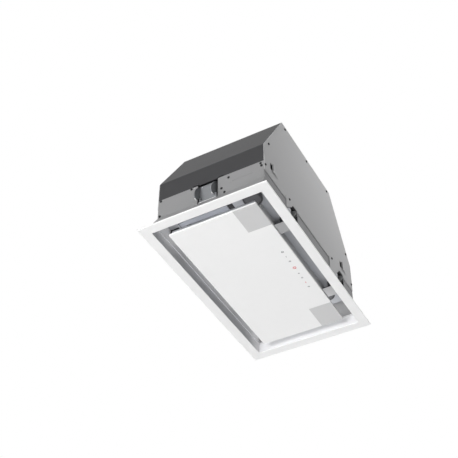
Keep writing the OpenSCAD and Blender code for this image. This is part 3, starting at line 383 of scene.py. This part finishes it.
for name, level in SPECULAR.items():
    shader = FINISHES[name].node_tree.nodes["Principled BSDF"]
    shader.inputs["Specular IOR Level"].default_value = level


def look(node):
    """The finish of a node, which is its slot's own unless LOOKS names another."""
    return LOOKS.get(node, slot_of_node[node])


print("finishes", len(FINISHES))

# %% [markdown]
# The glass is clear float glass painted white behind, with two windows near its front corners
# that are printed more thinly so that the light strips shine through. Off, they look grey. The
# windows are drawn in the paint by comparing the place on the glass with their edges, which
# keeps them exact in every view.
# %% White glass with two light windows
WINDOW_X = (0.1438, 0.2140)
WINDOW_Y = (-0.1010, -0.0475)
WINDOW_SOFT = 0.00025
GLASS_WHITE = (0.87, 0.87, 0.87)
WINDOW_GREY = (0.58, 0.58, 0.585)
GLASS_COAT = 0.3


def math_node(tree, operation, *values):
    node = tree.nodes.new("ShaderNodeMath")
    node.operation = operation
    for value, socket in zip(values, node.inputs):
        tree.links.new(value, socket)
    return node.outputs[0]


def between(tree, value, low, high):
    """1 where value lies from low to high, with an edge half a millimetre soft."""
    steps = []
    for edge, sign in ((low, 1), (high, -1)):
        step = tree.nodes.new("ShaderNodeMapRange")
        step.inputs["From Min"].default_value = edge - sign * WINDOW_SOFT
        step.inputs["From Max"].default_value = edge + sign * WINDOW_SOFT
        tree.links.new(value, step.inputs["Value"])
        steps.append(step.outputs["Result"])
    return math_node(tree, "MULTIPLY", *steps)


def glass_finish():
    material = finish(
        "painted_glass", GLASS_WHITE, "speckle", 60, (0.05, 0.09), 0.004, 0, Coat_Weight=GLASS_COAT
    )
    tree = material.node_tree
    shader = tree.nodes["Principled BSDF"]
    place = tree.nodes.new("ShaderNodeTexCoord")
    apart = tree.nodes.new("ShaderNodeSeparateXYZ")
    tree.links.new(place.outputs["Object"], apart.inputs[0])
    across = between(tree, math_node(tree, "ABSOLUTE", apart.outputs["X"]), *WINDOW_X)
    inside = math_node(tree, "MULTIPLY", across, between(tree, apart.outputs["Y"], *WINDOW_Y))
    paint = tree.nodes.new("ShaderNodeMix")
    paint.data_type = "RGBA"
    plain = shader.inputs["Base Color"].links[0].from_socket
    tree.links.new(inside, paint.inputs["Factor"])
    tree.links.new(plain, paint.inputs[6])
    paint.inputs[7].default_value = (*WINDOW_GREY, 1)
    tree.links.new(paint.outputs[2], shader.inputs["Base Color"])
    return material


FINISHES["white_glass"] = glass_finish()
for name, node in nodes.items():
    for slot in node.material_slots:
        slot.material = FINISHES[look(name)]
print("every CAD node has a finish:", all(o.material_slots for o in nodes.values()))

# %% [markdown]
# The rest of the lesson models in the same few steps, so they are named here once: choosing
# parts of a mesh, joining pieces, and handing a finished piece to its body and its slot.
# %% Steps of modelling
SAME_PLACE = 0.00001
ROUND_TURN = math.radians(35)


def new_piece(name, mesh):
    piece = bpy.data.objects.new(name, mesh)
    bpy.context.scene.collection.objects.link(piece)
    return piece


def only(piece):
    if bpy.context.object and bpy.context.object.mode != "OBJECT":
        bpy.ops.object.mode_set(mode="OBJECT")
    bpy.ops.object.select_all(action="DESELECT")
    piece.hide_set(False)
    piece.select_set(True)
    bpy.context.view_layer.objects.active = piece


def edit(piece, kind="EDGE"):
    only(piece)
    bpy.ops.object.mode_set(mode="EDIT")
    bpy.ops.mesh.select_mode(type=kind)
    bpy.ops.mesh.select_all(action="DESELECT")


def choose(piece, what, test):
    """Selects the vertices, edges or faces that pass the test, and says how many."""
    mesh = bmesh.from_edit_mesh(piece.data)
    chosen = [e for e in getattr(mesh, what) if test(e)]
    for e in chosen:
        e.select_set(True)
    bmesh.update_edit_mesh(piece.data)
    return len(chosen)


def apply_all(piece):
    only(piece)
    for modifier in list(piece.modifiers):
        bpy.ops.object.modifier_apply(modifier=modifier.name)


def joined(pieces, name):
    only(pieces[0])
    for piece in pieces:
        piece.select_set(True)
    bpy.ops.object.join()
    whole = bpy.context.object
    whole.name = name
    return whole


def settle(piece, body, slot_name, *replaced):
    """Fixes the place in the mesh, gives the finish and hands the piece to its body."""
    only(piece)
    bpy.ops.object.transform_apply(location=True, rotation=True, scale=True)
    piece.data.materials.clear()
    piece.data.materials.append(FINISHES[slot_name])
    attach(piece, body)
    if replaced:
        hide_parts(*replaced)


def ring_of_disc(disc, width, depth, in_gap=None):
    """Insets a flat disc, takes its middle and its gap away and makes the ring thick."""
    bpy.ops.object.mode_set(mode="EDIT")
    bpy.ops.mesh.select_all(action="SELECT")
    bpy.ops.mesh.inset(thickness=width, use_even_offset=True)
    bpy.ops.mesh.delete(type="FACE")
    bpy.ops.mesh.select_mode(type="FACE")
    if in_gap and choose(disc, "faces", in_gap):
        bpy.ops.mesh.delete(type="FACE")
    bpy.ops.mesh.select_all(action="SELECT")
    bpy.ops.mesh.extrude_region_move(TRANSFORM_OT_translate={"value": (0, 0, depth)})
    bpy.ops.mesh.select_all(action="SELECT")
    bpy.ops.mesh.normals_make_consistent(inside=False)
    bpy.ops.object.mode_set(mode="OBJECT")


# %% [markdown]
# Folded and punched sheet never has knife edges. A copy of each part that shows is joined up
# from the model's loose triangles, its flat faces are made whole again, and its edges get a
# small bevel, as deburring leaves them. The copy then stands for the part. Only what shows from
# a step away is copied. The two parts that are rings keep their triangles, because a flat face
# that is made whole there closes the ring's opening.
# %% Rounded copies of the sheet parts
FLAT_TURN = math.radians(0.5)
SHARP_TURN = math.radians(40)
SMOOTH_TURN = math.radians(32)
RING_PARTS = ("recess_collar", "trim_frame")


def whole_copy(node, name):
    piece = new_piece(name, nodes[node].data.copy())
    edit(piece, "VERT")
    bpy.ops.mesh.select_all(action="SELECT")
    bpy.ops.mesh.remove_doubles(threshold=SAME_PLACE)
    if node not in RING_PARTS:
        bpy.ops.mesh.dissolve_limited(angle_limit=FLAT_TURN)
    bpy.ops.object.mode_set(mode="OBJECT")
    return piece


def bevelled(piece, width, segments=2):
    bevel = piece.modifiers.new("deburr", "BEVEL")
    bevel.width = width
    bevel.segments = segments
    bevel.limit_method = "ANGLE"
    bevel.angle_limit = SHARP_TURN
    bevel.miter_outer = "MITER_ARC"
    bevel.use_clamp_overlap = True
    apply_all(piece)
    bpy.ops.object.shade_smooth_by_angle(angle=SMOOTH_TURN)
    even = piece.modifiers.new("flat_faces_stay_flat", "WEIGHTED_NORMAL")
    even.keep_sharp = True
    apply_all(piece)


def rounded(node, width):
    piece = whole_copy(node, node + "_rounded")
    bevelled(piece, width)
    settle(piece, body_of_node[node], slot_of_node[node], node)
    piece.data.materials[0] = FINISHES[look(node)]


# width of the bevel: the nodes that get it
EDGES = {
    0.00050: ["trim_frame", "filter_frame", "filter_latch", "wire_channel", "latch_rail"],
    0.00030: [
        "recess_collar",
        "end_wall_left",
        "end_wall_right",
        "tray_wall_front",
        "tray_wall_rear",
        "side_panel_front",
        "side_panel_rear",
        "ceiling_plate",
        "panel_carrier",
        "end_clamp_left",
        "end_clamp_right",
        "claw_housings",
        "cable_gland",
        "hinge_bracket_left",
        "hinge_bracket_right",
        "hinge_leaf_left",
        "hinge_leaf_right",
        "flap_left",
        "flap_right",
    ],
    0.00080: [
        "claw_front_left",
        "claw_front_right",
        "claw_rear_left",
        "claw_rear_right",
        "catch_magnets",
        "led_lamp_left",
        "led_lamp_right",
    ],
}
for width, names in EDGES.items():
    for name in names:
        rounded(name, width)
print("rounded", sum(len(names) for names in EDGES.values()), "parts")

# %% [markdown]
# Some pieces have a second finish on the faces that pass a test. The claws are steel wheels whose
# faces that don't look along X are dark. Their cages are black inside as painted shade, so that
# their windows read dark, and only the floors, which show through the slots from below, are bare
# zinc. The tray walls' inner faces take the collar's lighter steel as painted light, and the foot
# of each end clamp takes it as a painted highlight where the frame shades it.
# %% Second finishes
DARK_RIM_FACING = 0.6
SQUARE_FACING = 0.9
CAGE_FLOOR = 0.0462
FOOT_TOP = 0.0536
FOOT_OUT = 0.2196


def second_finish(node, name, test):
    mesh = bpy.data.objects[node + "_rounded"].data
    mesh.materials.append(FINISHES[name])
    for face in mesh.polygons:
        face.material_index = int(test(face.center, face.normal))


for end in ("front", "rear"):
    for side in ("left", "right"):
        second_finish(
            f"claw_{end}_{side}", "dark_rims_and_painted_shade", lambda middle, facing: abs(facing.x) < DARK_RIM_FACING
        )
# painted shade: the claw cages are black inside, except their floors
second_finish(
    "claw_housings",
    "dark_rims_and_painted_shade",
    lambda middle, facing: middle.z > CAGE_FLOOR or facing.z > SQUARE_FACING,
)
# painted light: the inner faces of the tray walls take the lighter steel
second_finish("tray_wall_front", "steel_painted_light", lambda middle, facing: facing.y > SQUARE_FACING)
second_finish("tray_wall_rear", "steel_painted_light", lambda middle, facing: -facing.y > SQUARE_FACING)
# painted highlight: the clamp feet take the lighter steel where the frame shades them
for side in ("left", "right"):
    second_finish(
        "end_clamp_" + side,
        "steel_painted_light",
        lambda middle, facing: middle.z < FOOT_TOP and abs(middle.x) > FOOT_OUT,
    )

# %% [markdown]
# The shell of the ends and top is one sheet bent four times. Its bends have a real radius of
# about three millimetres, which catches a soft line of light. The bend lines run along Y, so the
# long edges at the shoulders and at the top corners are chosen by their place and bevelled wide.
# %% Bent shell
BEND = 0.0028
BEND_STEPS = 5
BEND_TURNS = (math.radians(20), math.radians(70))
BEND_LENGTH = 0.2
SHELL_EDGE = 0.0003


def is_bend(e):
    a, b = (v.co for v in e.verts)
    along_y = abs(a.x - b.x) < SAME_PLACE and abs(a.z - b.z) < SAME_PLACE
    if not along_y or abs(a.y - b.y) < BEND_LENGTH or len(e.link_faces) != 2:
        return False
    return BEND_TURNS[0] < e.calc_face_angle(0) < BEND_TURNS[1]


shell = whole_copy("upper_shell", "upper_shell_bent")
edit(shell)
bends = choose(shell, "edges", is_bend)
bpy.ops.mesh.bevel(offset=BEND, segments=BEND_STEPS, profile=0.5, affect="EDGES")
bpy.ops.object.mode_set(mode="OBJECT")
bevelled(shell, SHELL_EDGE)
settle(shell, "housing", "dark_shell", "upper_shell")
print("bends rounded:", bends)

# %% [markdown]
# The glass has an arris, the narrow ground edge that keeps it from chipping. It is a touch
# brighter than the face, because it turns towards the room.
# %% Glass with an arris
ARRIS = 0.0005
ARRIS_STEPS = 3
glass = whole_copy("glass_panel", "glass_sheet")
bevelled(glass, ARRIS, ARRIS_STEPS)
settle(glass, "glass_door", "white_glass", "glass_panel")

# %% [markdown]
# The touch keys are printed on the glass in thin grey lines: a clock, a minus, a drop for the
# filter reminder, the power sign, a plus, a fan, a boost mark and a lamp. The power sign and the
# boost mark are red, and the power sign is the largest. Each sign is made of a few strokes: a
# bar is a box with rounded ends, and an arc is a disc whose rim is inset and whose middle and gap
# are taken away. The ink is a twentieth of a millimetre thick.
# %% Strokes of ink
INK_Z = 0.0022
INK_T = 0.00006
END_SHARE = 0.45
END_STEPS = 4
ARC_SIDES = 48


def ink_bar(x, y, length, width, angle=0.0):
    bpy.ops.object.select_all(action="DESELECT")
    bpy.ops.mesh.primitive_cube_add(size=1, location=(x, y, INK_Z - INK_T / 2))
    bar = bpy.context.object
    bar.scale = (length, width, INK_T)
    bar.rotation_euler.z = angle
    bpy.ops.object.transform_apply(location=True, rotation=True, scale=True)
    edit(bar)
    choose(bar, "edges", lambda e: abs(e.verts[0].co.z - e.verts[1].co.z) > INK_T / 2)
    bpy.ops.mesh.bevel(offset=width * END_SHARE, segments=END_STEPS, affect="EDGES")
    bpy.ops.object.mode_set(mode="OBJECT")
    return bar


def ink_arc(x, y, radius, width, gap_middle=0.0, gap=0.0):
    bpy.ops.object.select_all(action="DESELECT")
    bpy.ops.mesh.primitive_circle_add(
        vertices=ARC_SIDES, radius=radius + width / 2, fill_type="NGON", location=(0, 0, 0)
    )
    arc = bpy.context.object

    def in_gap(f):
        middle = f.calc_center_median()
        off = math.atan2(middle.y, middle.x) - gap_middle
        return abs((off + math.pi) % (2 * math.pi) - math.pi) < gap / 2

    ring_of_disc(arc, width, -INK_T, in_gap if gap else None)
    arc.location = (x, y, INK_Z)
    bpy.ops.object.transform_apply(location=True, rotation=False, scale=False)
    return arc


def print_sign(name, strokes, ink_name):
    """Joins the strokes of a sign and lets it ride on the glass."""
    sign = joined(strokes, name)
    sign.data.materials.clear()
    sign.data.materials.append(FINISHES[ink_name])
    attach(sign, "glass_door")


# %% [markdown]
# The signs stand in one row along the front edge, at the places measured from the photograph. A
# stroke is written as its kind, its place beside the middle of the sign and its measures: the
# length, width and angle of a bar, or the radius, width, and middle and width of the gap of an
# arc.
# %% Touch keys
KEY_Y = -0.0818
KEY_R = 0.0023
DROP_R = KEY_R * 0.75
LINE = 0.0010
BAR = 0.0042
BOLD = 0.0015
THIN = 0.0006
BLADE_R = 0.0012
RAY_R = 0.0026
UP = math.pi / 2
BLADES = [UP + i * 2 * math.pi / 3 for i in range(3)]
RAYS = [math.radians(degrees) for degrees in (30, 90, 150)]
# sign: place along X, ink, strokes
SIGNS = {
    "clock": (-0.0574, "grey_ink", [
        (ink_arc, 0, 0, KEY_R, LINE),
        (ink_bar, 0, 0.0007, 0.0015, LINE, UP),
        (ink_bar, 0.0005, 0, 0.0012, LINE),
    ]),
    "minus": (-0.0403, "grey_ink", [(ink_bar, 0, 0, BAR, LINE)]),
    "drop": (-0.0233, "grey_ink", [
        (ink_arc, 0, -0.0005, DROP_R, LINE, UP, 1.7),
        (ink_bar, -0.00062, 0.0013, 0.0022, LINE, UP - 0.55),
        (ink_bar, 0.00062, 0.0013, 0.0022, LINE, UP + 0.55),
    ]),
    "power": (0.0, "red_ink", [
        (ink_arc, 0, 0, 0.0031, BOLD, UP, 1.1),
        (ink_bar, 0, 0.0022, 0.0040, BOLD, UP),
    ]),
    "plus": (0.0214, "grey_ink", [
        (ink_bar, 0, 0, BAR, LINE),
        (ink_bar, 0, 0, BAR, LINE, UP),
    ]),
    "fan": (0.0374, "grey_ink", [
        (ink_arc, BLADE_R * math.cos(a), BLADE_R * math.sin(a), LINE, THIN) for a in BLADES
    ]),
    "boost": (0.0551, "red_ink", [(ink_bar, 0, 0, BAR, 0.0014)]),
    "lamp": (0.0715, "grey_ink", [(ink_arc, 0, 0, 0.0014, LINE)] + [
        (ink_bar, RAY_R * math.cos(a), RAY_R * math.sin(a), LINE, THIN, a) for a in RAYS
    ]),
}
for name, (x, ink_name, strokes) in SIGNS.items():
    drawn = [draw(x + dx, KEY_Y + dy, *measures) for draw, dx, dy, *measures in strokes]
    print_sign("key_" + name, drawn, ink_name)
print("touch keys", len(SIGNS))

# %% [markdown]
# The housing is held with black pan-head screws. One is modelled: a short cylinder whose top rim
# is bevelled into a dome, with a cross pressed into it. The cross is cut with a boolean from two
# crossed bars, and the screw is then copied to every place, each copy with its own mesh. The
# places follow the model's own holes: nine on each long side and eight on each end.
# %% One cross-head screw
HEAD_R = 0.0028
HEAD_H = 0.0018
HEAD_SIDES = 40
DOME_SHARE = 0.75
DOME_STEPS = 5
CROSS_L = 0.0034
CROSS_W = 0.0007
bpy.ops.object.select_all(action="DESELECT")
bpy.ops.mesh.primitive_cylinder_add(
    vertices=HEAD_SIDES, radius=HEAD_R, depth=HEAD_H, location=(0, 0, HEAD_H / 2)
)
screw = bpy.context.object
screw.name = "screw_pattern"
edit(screw)
choose(screw, "edges", lambda e: all(v.co.z > HEAD_H / 2 - SAME_PLACE for v in e.verts))
bpy.ops.mesh.bevel(offset=HEAD_H * DOME_SHARE, segments=DOME_STEPS, affect="EDGES")
bpy.ops.object.mode_set(mode="OBJECT")
bpy.ops.mesh.primitive_cube_add(size=1, location=(0, 0, HEAD_H))
cross = bpy.context.object
cross.scale = (CROSS_L, CROSS_W, HEAD_H)
bpy.ops.object.transform_apply(location=True, rotation=False, scale=True)
bpy.ops.object.duplicate()
arm = bpy.context.object
arm.rotation_euler.z = UP
bpy.ops.object.transform_apply(location=True, rotation=True, scale=True)
for cutter in (cross, arm):
    cut = screw.modifiers.new("cross", "BOOLEAN")
    cut.object = cutter
    cut.solver = "EXACT"
    cut.operation = "DIFFERENCE"
    apply_all(screw)
for cutter in (cross, arm):
    bpy.data.objects.remove(cutter)
only(screw)
bpy.ops.object.transform_apply(location=True, rotation=True, scale=True)
bpy.ops.object.shade_smooth_by_angle(angle=ROUND_TURN)
print("screw has", len(screw.data.polygons), "faces")

# %% [markdown]
# Each screw stands on its panel with its head outwards. A long side faces -Y or +Y and an end
# faces -X or +X, so the pattern is turned a quarter about X or Y and then half round about Z for
# the far panels. The crosses are turned by different amounts, as a hand leaves them.
# %% All the screws
SIDE_Y = 0.1265
END_X = 0.2230
TWIST = 0.7
# places on the near long side (x, z) and on the near end (y, z), in millimetres
SIDE_SCREWS = [
    (0, 308),
    (-112, 308),
    (112, 308),
    (-200, 175),
    (200, 175),
    (-218, 96),
    (218, 96),
    (-107.53, 91.5),
    (107.49, 91.5),
]
END_SCREWS = [
    (120.0, 101.05),
    (120.0, 57.48),
    (44.5, 101.47),
    (-27.5, 70.02),
    (-34.5, 56.43),
    (-44.0, 94.05),
    (-118.0, 98.96),
    (-120.0, 91.54),
]


def placed_screw(place, outward, twist):
    piece = new_piece("screw_copy", screw.data.copy())
    turn = Vector((0, 0, 1)).rotation_difference(Vector(outward)).to_matrix().to_4x4()
    piece.matrix_world = Matrix.Translation(place) @ turn @ Matrix.Rotation(twist, 4, "Z")
    return piece


places = []
for far in (1, -1):
    for x, z in SIDE_SCREWS:
        places.append(((far * x * MM, -far * SIDE_Y, z * MM), (0, -far, 0)))
    for y, z in END_SCREWS:
        places.append(((-far * END_X, far * y * MM, z * MM), (-far, 0, 0)))
copies = [placed_screw(p, outward, TWIST * i) for i, (p, outward) in enumerate(places)]
screws = joined(copies, "cross_head_screws")
bpy.ops.object.shade_smooth_by_angle(angle=ROUND_TURN)
settle(screws, "housing", "black_screws", "housing_screws")
bpy.data.objects.remove(screw)
print("screws", len(places))

# %% [markdown]
# The grease filter holds layers of expanded aluminium. One mesh of it is a diamond ring: a
# four-sided disc, inset, with its middle taken away and a little thickness. An array lays it in
# staggered rows, and three layers lie in the frame, with the middle one shifted aside.
# %% Expanded aluminium in the filter
MESH_X = 0.0100
MESH_Y = 0.0056
STRAND = 0.0009
SKIN = 0.0005
LAYERS = 3
FIRST_LAYER = 0.0008
LAYER_STEP = 0.0026
STAGGER = MESH_X / 2 * 0.9
low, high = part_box("filter_mesh")
columns = int((high.x - low.x) / MESH_X) - 1
rows = int((high.y - low.y) / MESH_Y) - 1
bpy.ops.object.select_all(action="DESELECT")
bpy.ops.mesh.primitive_circle_add(vertices=4, radius=0.5, fill_type="NGON", location=(0, 0, 0))
diamond = bpy.context.object
diamond.scale = (MESH_X, MESH_Y, 1)
bpy.ops.object.transform_apply(location=False, rotation=False, scale=True)
ring_of_disc(diamond, STRAND, SKIN)


def mesh_sheet(place):
    sheet = new_piece("mesh_layer", diamond.data.copy())
    sheet.location = place
    for count, step in ((columns, (MESH_X, 0, 0)), (rows, (0, MESH_Y, 0))):
        row = sheet.modifiers.new("row", "ARRAY")
        row.count = count
        row.use_relative_offset = False
        row.use_constant_offset = True
        row.constant_offset_displace = step
    apply_all(sheet)
    return sheet


sheets = [
    mesh_sheet((
        low.x + MESH_X / 2 + (stagger + 0.5 * (layer % 2)) * STAGGER,
        low.y + MESH_Y / 2 + stagger * MESH_Y / 2,
        low.z + FIRST_LAYER + layer * LAYER_STEP,
    ))
    for layer in range(LAYERS)
    for stagger in (0, 1)
]
woven = joined(sheets, "expanded_mesh")
settle(woven, "housing", "filter_aluminium", "filter_mesh")
bpy.data.objects.remove(diamond)
print("expanded mesh has", len(woven.data.polygons), "faces")

# %% [markdown]
# The outlet spigot is moulded plastic. Its tube has a lead-in at the mouth, a bead that a duct
# clamp grips behind, and a fillet where it meets the flange. All of it is round, so half of its
# section is drawn once and spun about Z.
# %% Moulded spigot
TUBE_R = 0.0745
INNER_R = 0.0725
LEDGE_R = 0.0690
LEDGE_TOP = 0.33295
WALL = 0.0020
EDGE = 0.0005
BEAD = 0.0008
SHOULDER = 0.0006
SPIN_STEPS = 128
low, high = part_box("outlet_spigot")
# half of the section: radius, height
section = [
    (INNER_R, low.z),
    (high.x - EDGE, low.z),
    (high.x, low.z + EDGE),
    (high.x, low.z + WALL - EDGE),
    (high.x - EDGE, low.z + WALL),
    (TUBE_R + WALL, low.z + WALL),
    (TUBE_R + SHOULDER, low.z + WALL + SHOULDER),
    (TUBE_R, low.z + 2 * WALL),
    (TUBE_R, high.z - 0.0130),
    (TUBE_R + SHOULDER, high.z - 0.0124),
    (TUBE_R + BEAD, high.z - 0.0112),
    (TUBE_R + SHOULDER, high.z - 0.0100),
    (TUBE_R, high.z - 0.0094),
    (TUBE_R, high.z - 0.0020),
    (TUBE_R - 0.0008, high.z - 0.0004),
    (TUBE_R - 0.0012, high.z),
    (INNER_R + 0.0003, high.z),
    (INNER_R, high.z - EDGE),
    (INNER_R, LEDGE_TOP),
    (LEDGE_R, LEDGE_TOP),
    (LEDGE_R, LEDGE_TOP - WALL),
    (INNER_R, LEDGE_TOP - WALL),
]
mesh = bpy.data.meshes.new("spigot_section")
mesh.from_pydata(
    [(r, 0, z) for r, z in section],
    [(i, (i + 1) % len(section)) for i in range(len(section))],
    [],
)
spigot = new_piece("spigot_moulded", mesh)
edit(spigot, "VERT")
bpy.ops.mesh.select_all(action="SELECT")
bpy.ops.mesh.spin(
    steps=SPIN_STEPS, angle=2 * math.pi, center=(0, 0, 0), axis=(0, 0, 1), use_normal_flip=False
)
bpy.ops.mesh.select_all(action="SELECT")
bpy.ops.mesh.remove_doubles(threshold=SAME_PLACE)
bpy.ops.mesh.normals_make_consistent(inside=False)
bpy.ops.object.mode_set(mode="OBJECT")
bpy.ops.object.shade_smooth_by_angle(angle=ROUND_TURN)
settle(spigot, "housing", "black_plastic", "outlet_spigot")
print("spigot has", len(spigot.data.polygons), "faces")
